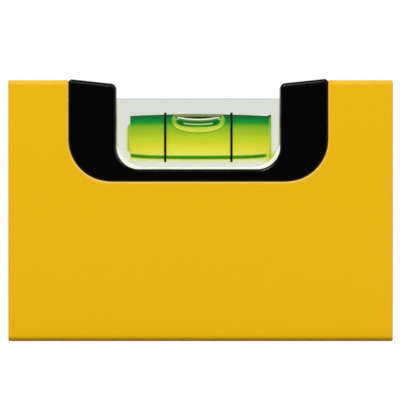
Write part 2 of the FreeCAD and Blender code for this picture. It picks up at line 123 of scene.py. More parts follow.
# How far shown surfaces stand off the wall of the bore or past the solids
SPIRIT_RISE = 0.06 * MM
SKIN_RISE = 0.09 * MM
BORE_RISE = 0.5 * MM
SADDLE_SWELL = 0.05 * MM
HORN_PROUD = 0.22 * MM
RIGHT_PROUD = 0.09 * MM
LEFT_ROOM = 0.1 * MM

# Roundings along the edges
COAT_ROUNDING = 0.28 * MM
SADDLE_ROUNDING = 0.6 * MM
BLOCK_ROUNDING = 0.04 * MM
ROUNDING_STEPS = 3
SHARP_ANGLE = 30

# Fineness of the round shapes
BARREL_STATIONS = 65
BARREL_SIDES = 128
DIMPLE_SIDES = 96
BUBBLE_ROWS = 96
BUBBLE_COLUMNS = 56
MERGE_DISTANCE = 0.0005 * MM

# Noise cells in a metre
PEEL_CELLS = 1400
PATCH_CELLS = 60
GRAIN_CELLS = 2600
CLOUD_CELLS = 500

# Framing of the photo
PHOTO_WIDTH = 76.54 * MM
PHOTO_ASIDE = -0.1 * MM
PHOTO_HEIGHT = 27.03 * MM


def bore_radius(along):
    """Radius of the barrel-shaped bore at a distance from the vial's middle."""
    return math.sqrt(BORE_ARC**2 - along**2) - (BORE_ARC - BORE_RADIUS)


def linear(share):
    """Linear light of an sRGB share."""
    return share / 12.92 if share < 0.04045 else ((share + 0.055) / 1.055) ** 2.4


def srgb(red, green, blue):
    """Linear colour of an sRGB triple written from 0 to 255."""
    return (linear(red / 255), linear(green / 255), linear(blue / 255), 1.0)


def grey(level):
    """Neutral colour at a linear level."""
    return (level, level, level, 1)


WHITE = grey(1)


class Socket:
    """An output of a node. Arithmetic on it adds Math nodes to its tree."""

    def __init__(self, maker, link):
        self.maker = maker
        self.link = link

    def __add__(self, other):
        return self.maker.math("ADD", self, other)

    def __sub__(self, other):
        return self.maker.math("SUBTRACT", self, other)

    def __rsub__(self, other):
        return self.maker.math("SUBTRACT", other, self)

    def __mul__(self, other):
        return self.maker.math("MULTIPLY", self, other)

    def __truediv__(self, other):
        return self.maker.math("DIVIDE", self, other)

    def __pow__(self, other):
        return self.maker.math("POWER", self, other)

    def __abs__(self):
        return self.maker.math("ABSOLUTE", self)

    __radd__ = __add__
    __rmul__ = __mul__


class Outputs:
    """A node's outputs, by number or name."""

    def __init__(self, maker, made):
        self.maker = maker
        self.made = made

    def __getitem__(self, key):
        return Socket(self.maker, self.made.outputs[key])


def set_stops(ramp, stops):
    """Give a colour ramp its stops."""
    for index, (place, colour) in enumerate(stops):
        stop = ramp.elements[index] if index < len(ramp.elements) else ramp.elements.new(place)
        stop.position = place
        stop.color = colour


class Maker:
    """Adds nodes to one tree."""

    def __init__(self, tree):
        self.tree = tree

    def node(self, kind, settings=None, sockets=None):
        """Add a node with its settings, then its sockets' values or links, and return its outputs."""
        made = self.tree.nodes.new(kind)
        for key, value in (settings or {}).items():
            if key == "stops":
                set_stops(made.color_ramp, value)
            else:
                setattr(made, key, value)
        for key, value in (sockets or {}).items():
            if isinstance(value, Socket):
                self.tree.links.new(value.link, made.inputs[key])
            else:
                made.inputs[key].default_value = value
        return Outputs(self, made)

    def math(self, operation, *values):
        """Add a Math node."""
        return self.node("ShaderNodeMath", {"operation": operation}, dict(enumerate(values)))[0]

    def larger(self, first, second):
        """The larger of two values."""
        return self.math("MAXIMUM", first, second)

    def blend(self, share, first, second):
        """Mix two colours."""
        settings = {"data_type": "RGBA"}
        return self.node("ShaderNodeMix", settings, {0: share, 6: first, 7: second})[2]

    def step(self, value, start, end):
        """Rise smoothly from 0 at start to 1 at end."""
        settings = {"interpolation_type": "SMOOTHSTEP"}
        sockets = {"Value": value, "From Min": start, "From Max": end}
        return self.node("ShaderNodeMapRange", settings, sockets)[0]

    def fall(self, value, start, end):
        """Fall smoothly from 1 at start to 0 at end."""
        return 1 - self.step(value, start, end)

    def span(self, value, rise, fall):
        """1 between a rise and a fall, each given by its start and end, and 0 outside them."""
        return self.step(value, *rise) * self.fall(value, *fall)

    def stripe(self, distance, half, soft):
        """1 within half of a line and 0 past it, with a soft edge."""
        return self.fall(abs(distance), half - soft, half + soft)

    def ramp(self, stops, place):
        """Colour at a place between 0 and 1 on a ramp."""
        return self.node("ShaderNodeValToRGB", {"stops": stops}, {0: place})[0]

    def bump(self, strength, distance, height):
        """Normal of a surface with a height on it."""
        sockets = {"Strength": strength, "Distance": distance, "Height": height}
        return self.node("ShaderNodeBump", None, sockets)[0]

    def principled(self, sockets):
        """Principled shader with these values and links."""
        return self.node("ShaderNodeBsdfPrincipled", None, sockets)[0]

    def diffuse(self, colour):
        """Diffuse shader."""
        return self.node("ShaderNodeBsdfDiffuse", None, {"Color": colour})[0]

    def transparent(self, colour):
        """Transparent shader."""
        return self.node("ShaderNodeBsdfTransparent", None, {"Color": colour})[0]

    def mix_shaders(self, share, first, second):
        """Mix two shaders."""
        return self.node("ShaderNodeMixShader", None, {0: share, 1: first, 2: second})[0]


def new_material(name):
    """Start an empty material and return it with its maker."""
    material = bpy.data.materials.new(name)
    material.use_nodes = True
    material.node_tree.nodes.clear()
    return material, Maker(material.node_tree)


def surface(maker, shader):
    """Make a shader the material's surface."""
    maker.node("ShaderNodeOutputMaterial", None, {"Surface": shader})


def place_in_mm(maker):
    """Object coordinates in millimetres, with x from the vial's middle."""
    spot = maker.node("ShaderNodeTexCoord")["Object"]
    scaled = maker.node("ShaderNodeVectorMath", {"operation": "SCALE"}, {0: spot, "Scale": 1 / MM})[0]
    parts = maker.node("ShaderNodeSeparateXYZ", None, {0: scaled})
    return parts[0] - VIAL_X / MM, parts[1], parts[2]


def speckle(maker, cells):
    """Noise between 0 and 1 on Object coordinates."""
    spot = maker.node("ShaderNodeTexCoord")["Object"]
    return maker.node("ShaderNodeTexNoise", None, {"Vector": spot, "Scale": cells, "Detail": 2.0})[0]


def corner_reach(maker, x, z, half, floor, corner):
    """Depth under the centres of a U's lower corner arcs, and distance from them, out and down only."""
    aside = maker.larger(abs(x) - (half - corner), 0.0)
    below = maker.larger(floor + corner - z, 0.0)
    return below, (aside * aside + below * below) ** 0.5


def yellow_coat():
    """Powder coat with a fine orange peel, paler by the cut-out and the top with a painted highlight,
    darker along the sole with a painted shade.
    """
    material, maker = new_material("yellow_coat")
    x, _, z = place_in_mm(maker)
    peel = speckle(maker, PEEL_CELLS)
    colour = maker.blend(speckle(maker, PATCH_CELLS), srgb(234, 182, 5), srgb(237, 184, 8))
    # Painted highlight: a pale band along the cut-out's edge, strongest where the edge faces up.
    corner = SADDLE_CORNER / MM
    below, reach = corner_reach(maker, x, z, SADDLE_HALF / MM, SADDLE_LOW.z / MM, corner)
    edge = maker.fall(reach - corner, 0.12, 0.62)
    upward_highlight = maker.step(below / (reach + 0.001), 0.1, 0.8) * 0.7 + 0.3
    # Painted highlight along the rounded top edge.
    height = BODY_HIGH.z / MM
    top = maker.step(z, height - 1.0, height - 0.6) * 0.2
    colour = maker.blend(maker.larger(edge * upward_highlight, top), colour, srgb(241, 202, 108))
    # Painted shade: a darker line along the rounded edge of the sole.
    sole = maker.stripe(z - 0.46, half=0.2, soft=0.15)
    colour = maker.blend(sole, colour, srgb(203, 160, 8))
    sockets = {
        "Base Color": colour,
        "Roughness": 0.3 + peel * 0.1,
        "Specular IOR Level": 0.12,
        "Normal": maker.bump(0.12, 0.05 * MM, peel),
    }
    surface(maker, maker.principled(sockets))
    return material


def horn_top_highlight(maker):
    """Painted highlight: the lit line along the horns' sloping tops, which stops short of their corners."""
    x, _, z = place_in_mm(maker)
    width = HORN_WIDTH / MM
    across = SADDLE_HALF / MM - abs(x)
    top = (BODY_HIGH.z + HORN_PROUD) / MM - across * math.tan(HORN_SLOPE)
    top = top + maker.step(x, -1, 1) * (RIGHT_PROUD / MM)
    ends = maker.span(across, (0.4, 1.2), (width - 0.9, width - 0.4))
    return maker.stripe(top - z - 0.53, half=0.12, soft=0.11) * ends


def moulded_plastic(name, colour, roughness, gloss, painted_highlight=None):
    """Moulded plastic with a faint grain, and with a painted highlight along the horns' tops where one is
    given.
    """
    material, maker = new_material(name)
    if painted_highlight:
        # Painted highlight along the horns' tops.
        colour = maker.blend(horn_top_highlight(maker), colour, painted_highlight)
    grain = speckle(maker, GRAIN_CELLS)
    sockets = {
        "Base Color": colour,
        "Roughness": roughness + grain * 0.06,
        "Specular IOR Level": gloss,
        "Normal": maker.bump(0.08, 0.03 * MM, grain),
    }
    surface(maker, maker.principled(sockets))
    return material


def white_resin():
    """Cured resin: white along the window's edge, clearer where it meets the block, and a little uneven. It
    has a painted glow, painted light that is brighter towards the right, and the spirit's painted
    green-yellow light near the right end.
    """
    material, maker = new_material("white_resin")
    x, _, z = place_in_mm(maker)
    cloud = speckle(maker, CLOUD_CELLS)
    corner = WINDOW_CORNER / MM
    floor = (SADDLE_LOW.z + SADDLE_FLOOR) / MM
    reach = corner_reach(maker, x, z, WINDOW_HALF / MM, floor, corner)[1]
    # Painted light: brighter towards the right.
    white = maker.blend(maker.step(x, -14, 12), srgb(246, 247, 232), srgb(255, 255, 246))
    clear = maker.blend(cloud, srgb(228, 231, 214), srgb(222, 225, 207))
    # Painted light of the spirit near the right end.
    clear = maker.blend(maker.step(x, 11.0, 13.6), clear, srgb(214, 224, 122))
    colour = maker.blend(maker.step(corner - reach, 0.4, 0.75), white, clear)
    # Painted glow: the resin gives off a little light of its own.
    sockets = {
        "Base Color": colour,
        "Roughness": 0.45,
        "Emission Color": colour,
        "Emission Strength": 0.25,
    }
    surface(maker, maker.principled(sockets))
    return material


def clear_acrylic():
    """Polished acrylic that lets the lamps through.

    Painted light: the dye's glow is painted into it under the barrel, past the barrel's two ends and in its
    lower right corner, with a painted glint by the stopper's seat and a painted warmer tone along the
    window's sides.
    """
    material, maker = new_material("clear_acrylic")
    x, _, z = place_in_mm(maker)
    wide = abs(x)
    colour = maker.blend(maker.step(z, 35.5, 42.5), srgb(229, 231, 221), srgb(221, 227, 218))
    # Painted light of the dye under the barrel.
    under = maker.span(z, (33.7, 34.5), (36, 37)) * maker.fall(wide, 12.5, 14.5)
    colour = maker.blend(under * 0.5, colour, srgb(226, 228, 150))
    # Painted light: a warmer tone along the window's sides.
    sides = maker.step(wide, 15.1, 15.4)
    colour = maker.blend(sides, colour, srgb(229, 226, 207))
    # Painted glow of the dye past the barrel's right end.
    right_end_glow = maker.stripe(x - 14.04, half=0.16, soft=0.08)
    right_end_glow = right_end_glow * maker.span(z, (34.6, 35.2), (42.9, 43.1))
    colour = maker.blend(right_end_glow, colour, srgb(216, 230, 158))
    # Painted glow of the dye past the barrel's left end.
    left_end_glow = maker.stripe(x + 13.7, half=0.13, soft=0.07)
    left_end_glow = left_end_glow * maker.span(z, (36.0, 36.6), (40.5, 41.1))
    colour = maker.blend(left_end_glow, colour, srgb(206, 216, 136))
    # Painted glint by the stopper's seat.
    glint = maker.stripe(z - 43.34, half=0.1, soft=0.05) * maker.span(x, (11.4, 13.0), (13.3, 13.4))
    colour = maker.blend(glint, colour, WHITE)
    # Painted glow of the dye in the block's lower right corner.
    glow_distance = ((x - 13.9) ** 2 + ((z - 35.4) * 0.8) ** 2) ** 0.5
    colour = maker.blend(maker.fall(glow_distance, 0.3, 1.4), colour, srgb(206, 217, 96))
    sockets = {
        "Base Color": colour,
        "Roughness": 0.0,
        "IOR": 1.49,
        "Transmission Weight": 1.0,
        "Specular IOR Level": 0.5,
    }
    body = maker.principled(sockets)
    shade = maker.transparent((0.9, 0.92, 0.9, 1))
    shadow = maker.node("ShaderNodeLightPath")["Is Shadow Ray"]
    surface(maker, maker.mix_shaders(shadow, body, shade))
    return material


def wetted_wall():
    """Wall of the bore. The liquid wets it, so it shows only at the edge of the stopper's seat."""
    material, maker = new_material("wetted_wall")
    x, _, z = place_in_mm(maker)
    seat_edge = maker.stripe(z - 43.24 - (x - 13.7) * 0.16, half=0.1, soft=0.05)
    seat_edge = seat_edge * maker.stripe(x - 13.72, half=0.34, soft=0.06)
    sockets = {
        "Base Color": srgb(24, 58, 34),
        "Roughness": 0.5,
        "Specular IOR Level": 0.0,
    }
    surface(maker, maker.mix_shaders(seat_edge, maker.transparent(WHITE), maker.principled(sockets)))
    return material


def glowing(maker, colour):
    """Dyed liquid seen against the light, with a painted glow: part of its colour is its own light."""
    lit = maker.node("ShaderNodeVectorMath", {"operation": "SCALE"}, {0: colour, "Scale": 0.35})[0]
    sockets = {
        "Base Color": lit,
        "Roughness": 0.5,
        "Specular IOR Level": 0.0,
        "Emission Color": colour,
        "Emission Strength": 0.78,
    }
    return maker.principled(sockets)


# The spirit's green-yellow by height, with painted light and shade: darker under the crown, brighter below.
SPIRIT_DYE_AND_SHADING = (
    (34.4, srgb(232, 236, 196)),
    (34.8, srgb(230, 237, 150)),
    (35.8, srgb(230, 234, 98)),
    (36.8, srgb(228, 223, 73)),
    (37.6, srgb(216, 215, 49)),
    (38.8, srgb(192, 207, 45)),
    (40.0, srgb(163, 190, 43)),
    (41.2, srgb(120, 178, 40)),
    (41.85, srgb(38, 148, 46)),
    (42.4, srgb(17, 131, 60)),
    (43.2, srgb(30, 98, 54)),
)


def height_ramp(maker, z, bands):
    """Colours by height."""
    low, high = bands[0][0], bands[-1][0]
    stops = [((height - low) / (high - low), colour) for height, colour in bands]
    return maker.ramp(stops, (z - low) / (high - low))


def spirit_colour():
    """Green-yellow spirit with painted light and shade: dark under the crown, bright below, with a painted
    dark line over the bore's floor and painted glows at its two ends.
    """
    material, maker = new_material("spirit")
    x, _, z = place_in_mm(maker)
    wide = abs(x)
    square = x * x
    colour = height_ramp(maker, z + square * 0.0006, SPIRIT_DYE_AND_SHADING)
    # Painted shade: the dark line over the bore's floor.
    line = z - 35.17 - square * 0.00115 - ((wide / 12.5) ** 8) * 0.17
    taper = maker.fall(wide, 12.6, 13.3)
    colour = maker.blend(maker.stripe(line, half=0.37, soft=0.11) * taper, colour, srgb(126, 184, 56))
    colour = maker.blend(maker.stripe(line, half=0.25, soft=0.13) * taper, colour, srgb(60, 138, 20))
    # Painted glow at the barrel's right end.
    right_end_glow = maker.step(x, 13.4, 13.8) * maker.fall(z, 42.8, 43.0)
    bright = maker.blend(maker.step(z, 37, 42), srgb(200, 214, 84), srgb(122, 176, 84))
    colour = maker.blend(right_end_glow, colour, bright)
    # Painted glow at the barrel's left end.
    left_end_glow = maker.fall(x, -13.15, -13.0) * 0.6
    colour = maker.blend(left_end_glow, colour, srgb(196, 214, 96))
    surface(maker, glowing(maker, colour))
    return material


# Painted light and shade: the bands below paint what the curved vial shows at the air bubble.
BUBBLE_UNDER = (
    (0.0, srgb(125, 185, 56)),
    (0.3, srgb(178, 201, 59)),
    (0.6, srgb(203, 214, 73)),
    (0.85, srgb(210, 223, 88)),
    (1.0, srgb(172, 200, 64)),
)
BUBBLE_SIDES = (
    (0.0, srgb(84, 160, 54)),
    (0.3, srgb(131, 186, 63)),
    (0.7, srgb(134, 187, 58)),
    (1.0, srgb(100, 172, 52)),
)
BUBBLE_EDGE = (
    (39.7, srgb(122, 158, 26)),
    (40.4, srgb(96, 150, 20)),
    (41.2, srgb(66, 144, 18)),
    (42.1, srgb(30, 132, 34)),
)
CROWN_BAND = (
    (42.93, srgb(84, 95, 58)),
    (43.05, srgb(92, 103, 64)),
    (43.22, srgb(143, 152, 108)),
    (43.42, srgb(114, 121, 85)),
)


def oval_reach(along, up, half_long, half_high, power):
    """1 on a superellipse, less inside it and more outside."""
    return (abs(along / half_long) ** power + abs(up / half_high) ** power) ** (1 / power)


def bubble_inside(maker, x, z):
    """Painted shade and light: dark green inside the bubble's bright band, with a pale line that bends up
    along it.
    """
    wide = abs(x)
    upper = maker.blend(maker.step(wide, 0.8, 3.4), srgb(46, 98, 28), srgb(18, 106, 40))
    inside = maker.blend(maker.step(z, 41.25, 41.5), srgb(60, 132, 22), upper)
    line = maker.stripe(z - 41.53 - (x * x) * 0.027, half=0.12, soft=0.07)
    return maker.blend(line * maker.fall(wide, 2.6, 3.0), inside, srgb(160, 217, 148))


def with_crescent(maker, colour, x, z):
    """Add the painted dark lens at the bubble's top, the painted white crescent of light and painted glow
    under it, and the hooks at its tips.
    """
    wide = abs(x)
    bow = z - 42.49 - (x * x) * 0.0265
    glow = maker.span(bow, (-0.55, 0.0), (0.0, 0.1)) * maker.fall(wide, 2.6, 4.0)
    colour = maker.blend(glow, colour, srgb(146, 178, 124))
    hook = maker.stripe(z - 42.56, half=0.15, soft=0.08) * maker.stripe(wide - 4.1, half=0.4, soft=0.2)
    colour = maker.blend(hook, colour, srgb(140, 188, 92))
    lens = maker.step(bow, 0.05, 0.12) * maker.fall(wide, 3.9, 4.2)
    colour = maker.blend(lens, colour, srgb(18, 28, 2))
    crescent = maker.stripe(bow, half=0.12, soft=0.07) * maker.fall(wide, 3.85, 4.25)
    return maker.blend(crescent, colour, srgb(232, 243, 210))


def with_crown(maker, colour, x, y, z):
    """Add the painted band along the bubble's crown, with a painted highlight where the bubble lies right
    on top, and its painted dark tips.
    """
    wide = abs(x)
    band_colour = height_ramp(maker, z, CROWN_BAND)
    crown = maker.blend(maker.step(abs(y), 0.25, 0.6), srgb(190, 205, 166), band_colour)
    corner = maker.stripe(wide - 4.28, half=0.2, soft=0.1) * maker.stripe(z - 43.0, half=0.17, soft=0.08)
    colour = maker.blend(corner, colour, srgb(44, 84, 22))
    reach = 3.95 + maker.step(z, 43.1, 43.2) * 0.75
    band = maker.step(z, 42.9, 42.98) * maker.fall(wide - reach, -0.1, 0.1)
    colour = maker.blend(band, colour, crown)
    tip = maker.step(z, 43.08, 43.18) * maker.step(wide, 4.6, 4.8)
    flank = maker.step(z, 42.75, 42.9) * maker.step(wide, 4.88, 5.0)
    return maker.blend(maker.larger(tip, flank), colour, srgb(36, 108, 46))


def bubble_colour():
    """Painted light and shade: the bubble's bands, as the curved vial shows them."""
    material, maker = new_material("bubble")
    x, y, z = place_in_mm(maker)
    up = z - OVAL_Z / MM
    outer = oval_reach(x, up, OVAL_HALF / MM - 0.03, OVAL_HALF_HEIGHT / MM - 0.22, OVAL_POWER)
    inner = oval_reach(x + 0.06, up, 4.15, 1.34, 2.9) - maker.step(z, 42.7, 43.0) * 0.08
    share = (inner - 1) / (inner - outer + 0.001)
    under = maker.ramp(BUBBLE_UNDER, share)
    sides = maker.ramp(BUBBLE_SIDES, share)
    colour = maker.blend(maker.step(z, 40.9, 42.0), under, sides)
    colour = maker.blend(maker.step(outer, 0.98, 1.02), colour, height_ramp(maker, z, BUBBLE_EDGE))
    colour = maker.blend(maker.fall(inner, 0.97, 1.03), colour, bubble_inside(maker, x, z))
    colour = with_crescent(maker, colour, x, z)
    colour = with_crown(maker, colour, x, y, z)
    surface(maker, glowing(maker, colour))
    return material


def link_piece(name, mesh):
    """Put a finished mesh into the scene at the origin."""
    piece = bpy.data.objects.new(name, mesh)
    bpy.context.scene.collection.objects.link(piece)
    return piece


def paint(piece, *materials):
    """Give a piece its materials."""
    piece.data.materials.clear()
    for material in materials:
        piece.data.materials.append(material)
    return piece


def plain_mesh(piece, name):
    """Mesh of an object with its modifiers applied; the object itself goes."""
    graph = bpy.context.evaluated_depsgraph_get()
    mesh = bpy.data.meshes.new_from_object(piece.evaluated_get(graph))
    mesh.name = name
    bpy.data.objects.remove(piece)
    return mesh


def smooth(mesh, limit):
    """Smooth shading, with edges sharper than a limit in degrees kept sharp."""
    mesh.shade_smooth()
    mesh.set_sharp_from_angle(angle=math.radians(limit))


def softened(source, name, width, crisp=False):
    """Round the edges of a closed mesh. Where it is crisp, the roundings keep flat shading."""
    smooth(source, SHARP_ANGLE)
    piece = link_piece(name, source)
    bevel = piece.modifiers.new("soft_edges", "BEVEL")
    bevel.width = width
    bevel.segments = ROUNDING_STEPS
    bevel.limit_method = "ANGLE"
    bevel.angle_limit = math.radians(SHARP_ANGLE)
    bevel.use_clamp_overlap = False
    if not crisp:
        even = piece.modifiers.new("even_normals", "WEIGHTED_NORMAL")
        even.weight = 100
        even.keep_sharp = False
    mesh = plain_mesh(piece, name)
    if crisp:
        smooth(mesh, 12)
    return link_piece(name, mesh)


def rounded(corners, radii, steps):
    """Outline through corners, with an arc at each corner whose radius isn't 0."""
    outline = []
    for index, radius in enumerate(radii):
        here = Vector(corners[index])
        back = (Vector(corners[index - 1]) - here).normalized()
        ahead = (Vector(corners[(index + 1) % len(corners)]) - here).normalized()
        if radius == 0:
            outline.append(tuple(here))
            continue
        half = back.angle(ahead) / 2
        centre = here + (back + ahead).normalized() * (radius / math.sin(half))
        first = here + back * (radius / math.tan(half)) - centre
        last = here + ahead * (radius / math.tan(half)) - centre
        start = math.atan2(first.y, first.x)
        sweep = (math.atan2(last.y, last.x) - start + math.pi) % (2 * math.pi) - math.pi
        for step in range(steps + 1):
            angle = start + sweep * step / steps
            outline.append((centre.x + radius * math.cos(angle), centre.y + radius * math.sin(angle)))
    return outline


def box_corners(left, right, low, high):
    """Corners of an upright rectangle."""
    return [(left, low), (right, low), (right, high), (left, high)]


def prism(outline, start, end, axis="y"):
    """Closed mesh of an outline swept along y, or of one in y and z swept along x."""
    mesh = bpy.data.meshes.new("prism")
    work = bmesh.new()
    rows = []
    for place in (start, end):
        spots = [(place, *spot) if axis == "x" else (spot[0], place, spot[1]) for spot in outline]
        rows.append([work.verts.new(spot) for spot in spots])
    first, last = rows
    work.faces.new(first)
    work.faces.new(list(reversed(last)))
    for index in range(len(outline)):
        after = (index + 1) % len(outline)
        work.faces.new((first[index], last[index], last[after], first[after]))
    bmesh.ops.recalc_face_normals(work, faces=work.faces)
    work.to_mesh(mesh)
    work.free()
    return mesh


def carved(base, name, cuts=(), adds=()):
    """Cut meshes out of a mesh, then join meshes to it, one after another."""
    piece = link_piece(name, base)
    tools = []
    for operation, meshes in (("DIFFERENCE", cuts), ("UNION", adds)):
        for tool_mesh in meshes:
            tool = link_piece("tool", tool_mesh)
            carve = piece.modifiers.new("carve", "BOOLEAN")
            carve.operation = operation
            carve.solver = "EXACT"
            carve.object = tool
            tools.append(tool)
    mesh = plain_mesh(piece, name)
    for tool in tools:
        bpy.data.objects.remove(tool)
    return mesh


def painted_profile():
    """Box extrusion with the cut-out for the saddle."""
    depth = BODY_HIGH.y
    height = BODY_HIGH.z
    outer = box_corners(-depth, depth, 0, height)
    outer = rounded(outer, (SOLE_EDGE, SOLE_EDGE, TOP_EDGE, TOP_EDGE), steps=14)
    inner = box_corners(SIDE_WALL - depth, depth - SIDE_WALL, TOP_WALL, height - TOP_WALL)
    inner = rounded(inner, (HOLLOW_CORNER,) * 4, steps=6)
    half = SADDLE_HALF + SADDLE_FIT
    cut = box_corners(VIAL_X - half, VIAL_X + half, SADDLE_LOW.z - SADDLE_FIT, 2 * height)
    cut = rounded(cut, (SADDLE_CORNER + SADDLE_FIT,) * 2 + (0, 0), steps=32)
    past = 5 * MM
    tools = [
        prism(inner, BODY_LOW.x - past, BODY_HIGH.x + past, "x"),
        prism(cut, -2 * depth, 2 * depth),
    ]
    mesh = carved(prism(outer, BODY_LOW.x, BODY_HIGH.x, "x"), "painted_profile", tools)
    return softened(mesh, "painted_profile", COAT_ROUNDING)


def saddle_outline():
    """Outline of the moulded U. The right horn stands taller and the window's left side has more room."""
    top = BODY_HIGH.z + HORN_PROUD
    inner_top = top - HORN_WIDTH * math.tan(HORN_SLOPE)
    floor = SADDLE_LOW.z + SADDLE_FLOOR
    outer_side = SADDLE_HALF + SADDLE_SWELL
    corners = []
    for side, rise, room in ((1, RIGHT_PROUD, 0.0), (-1, 0.0, LEFT_ROOM)):
        window = WINDOW_HALF + room
        spots = [(outer_side, SADDLE_LOW.z - SADDLE_SWELL), (outer_side, top + rise)]
        spots += [(window, inner_top + rise), (window, floor)]
        corners += [(VIAL_X + side * x, z) for x, z in spots[::side]]
    radii = [SADDLE_CORNER + SADDLE_SWELL, HORN_OUTER, HORN_INNER, WINDOW_CORNER]
    return rounded(corners, radii + radii[::-1], steps=20)


def saddle_moulding():
    """Moulded U with the slot for the flange, the cores of its horns and its snap lugs."""
    top = BODY_HIGH.z + HORN_PROUD
    core_top = top - HORN_WIDTH * math.tan(HORN_SLOPE) - CORE_SKIN
    core_depth = SADDLE_HIGH.y - CORE_SKIN
    slot_half = WINDOW_HALF + FLANGE_REACH
    slot_floor = BORE_Z - FLANGE_DROP - FLANGE_FIT
    slot_depth = FLANGE_HALF_DEPTH + FLANGE_FIT
    slot = box_corners(VIAL_X - slot_half, VIAL_X + slot_half, slot_floor, 2 * top)
    cuts = [prism(slot, -slot_depth, slot_depth)]
    adds = []
    catch = BODY_HIGH.z - TOP_WALL - LUG_CATCH
    lug_steps = ((-LUG_REACH, -LUG_HEIGHT), (0, -LUG_HEIGHT), (LUG_REACH, 0), (-LUG_REACH, 0))
    for side in (-1, 1):
        reaches = (slot_half + CORE_WALL, SADDLE_HALF - CORE_WALL)
        ends = sorted(VIAL_X + side * reach for reach in reaches)
        cuts.append(prism(box_corners(*ends, 0, core_top), -core_depth, core_depth))
        lug = [(VIAL_X + side * (SADDLE_HALF + out), catch + up) for out, up in lug_steps]
        adds.append(prism(lug, -LUG_DEPTH / 2, LUG_DEPTH / 2))
    base = prism(saddle_outline(), SADDLE_LOW.y, SADDLE_HIGH.y)
    mesh = carved(base, "saddle_moulding", cuts, adds)
    return softened(mesh, "saddle_moulding", SADDLE_ROUNDING)


def geometry_tree(name, inputs):
    """Start a Geometry Nodes tree with named sizes; returns it, its maker and its inputs."""
    tree = bpy.data.node_groups.new(name, "GeometryNodeTree")
    for label in inputs:
        tree.interface.new_socket(name=label, in_out="INPUT", socket_type="NodeSocketFloat")
    tree.interface.new_socket(name="Geometry", in_out="OUTPUT", socket_type="NodeSocketGeometry")
    maker = Maker(tree)
    return tree, maker, maker.node("NodeGroupInput")


def finish_tree(maker, shape, material):
    """End a tree in plain geometry with a material."""
    real = maker.node("GeometryNodeRealizeInstances", None, {0: shape})[0]
    painted = maker.node("GeometryNodeSetMaterial", None, {"Geometry": real, "Material": material})[0]
    maker.node("NodeGroupOutput", None, {0: painted})


def grown(name, tree, sizes):
    """Run a tree with these sizes and return the plain mesh."""
    piece = link_piece(name, bpy.data.meshes.new(name))
    modifier = piece.modifiers.new("grow", "NODES")
    modifier.node_group = tree
    for item in tree.interface.items_tree:
        if item.in_out == "INPUT":
            modifier[item.identifier] = sizes[item.name]
    return plain_mesh(piece, name)


def point(maker, x, y, z):
    """Join three values to a point."""
    return maker.node("ShaderNodeCombineXYZ", None, {0: x, 1: y, 2: z})[0]


def moved(maker, shape, offset, turn=(0, 0, 0)):
    """Turn a shape and move it."""
    sockets = {"Geometry": shape, "Translation": offset, "Rotation": turn}
    return maker.node("GeometryNodeTransform", None, sockets)[0]


def circle(maker, radius):
    """Circle of a radius, as a curve."""
    sockets = {"Resolution": BARREL_SIDES, "Radius": radius}
    return maker.node("GeometryNodeCurvePrimitiveCircle", None, sockets)[0]


def barrel_tree(material):
    """Barrel along x: a circle swept along a line, its size following the bore's arc, with a dimple."""
    sizes = ("Left", "Right", "Radius", "Arc", "Centre X", "Centre Z", "Mouth", "Floor", "Depth")
    tree, maker, given = geometry_tree("barrel", sizes)
    start = point(maker, given["Left"] * -1, 0.0, 0.0)
    end = point(maker, given["Right"], 0.0, 0.0)
    line = maker.node("GeometryNodeCurvePrimitiveLine", None, {"Start": start, "End": end})[0]
    sockets = {"Curve": line, "Count": BARREL_STATIONS}
    line = maker.node("GeometryNodeResampleCurve", None, sockets)[0]
    along = maker.node("ShaderNodeSeparateXYZ", None, {0: maker.node("GeometryNodeInputPosition")[0]})[0]
    arc = (given["Arc"] * given["Arc"] - along * along) ** 0.5
    thick = arc - (given["Arc"] - given["Radius"])
    sockets = {"Curve": line, "Profile Curve": circle(maker, 1.0), "Scale": thick, "Fill Caps": True}
    barrel = maker.node("GeometryNodeCurveToMesh", None, sockets)[0]
    sockets = {
        "Vertices": DIMPLE_SIDES,
        "Radius Top": given["Floor"],
        "Radius Bottom": given["Mouth"],
        "Depth": given["Depth"],
    }
    cone = maker.node("GeometryNodeMeshCone", None, sockets)[0]
    dimple = moved(maker, cone, start, (0, -math.pi / 2, 0))
    joined = maker.node("GeometryNodeJoinGeometry", None, {0: barrel})
    maker.tree.links.new(dimple.link, joined.made.inputs[0])
    centre = point(maker, given["Centre X"], 0.0, given["Centre Z"])
    finish_tree(maker, moved(maker, joined[0], centre), material)
    return tree


def ring_tree(material):
    """Reading ring: a flat section that follows a circle round the vial."""
    tree, maker, given = geometry_tree("reading_ring", ("Radius", "Width", "Thickness", "Place", "Height"))
    path = circle(maker, given["Radius"])
    sockets = {"Width": given["Thickness"], "Height": given["Width"]}
    section = maker.node("GeometryNodeCurvePrimitiveQuadrilateral", None, sockets)[0]
    ring = maker.node("GeometryNodeCurveToMesh", None, {"Curve": path, "Profile Curve": section})[0]
    centre = point(maker, given["Place"], 0.0, given["Height"])
    finish_tree(maker, moved(maker, ring, centre, (0, math.pi / 2, 0)), material)
    return tree


def barrel_sizes(rise, wet):
    """Sizes for a barrel that stands off the bore's wall by rise and off its ends by wet."""
    return {
        "Left": BORE_LEFT - wet,
        "Right": BORE_RIGHT - wet,
        "Radius": BORE_RADIUS + rise,
        "Arc": BORE_ARC,
        "Centre X": VIAL_X,
        "Centre Z": BORE_Z,
        "Mouth": DIMPLE_MOUTH,
        "Floor": DIMPLE_FLOOR,
        "Depth": DIMPLE_DEPTH,
    }


def ring_sizes(side):
    """Sizes for the reading ring on one side of the vial's middle."""
    return {
        "Radius": bore_radius(RING_PLACE) + (RING_INSIDE + RING_OUTSIDE) / 2,
        "Width": 2 * RING_HALF_WIDTH,
        "Thickness": RING_OUTSIDE - RING_INSIDE,
        "Place": VIAL_X + side * RING_PLACE,
        "Height": BORE_Z + RING_LIFT,
    }


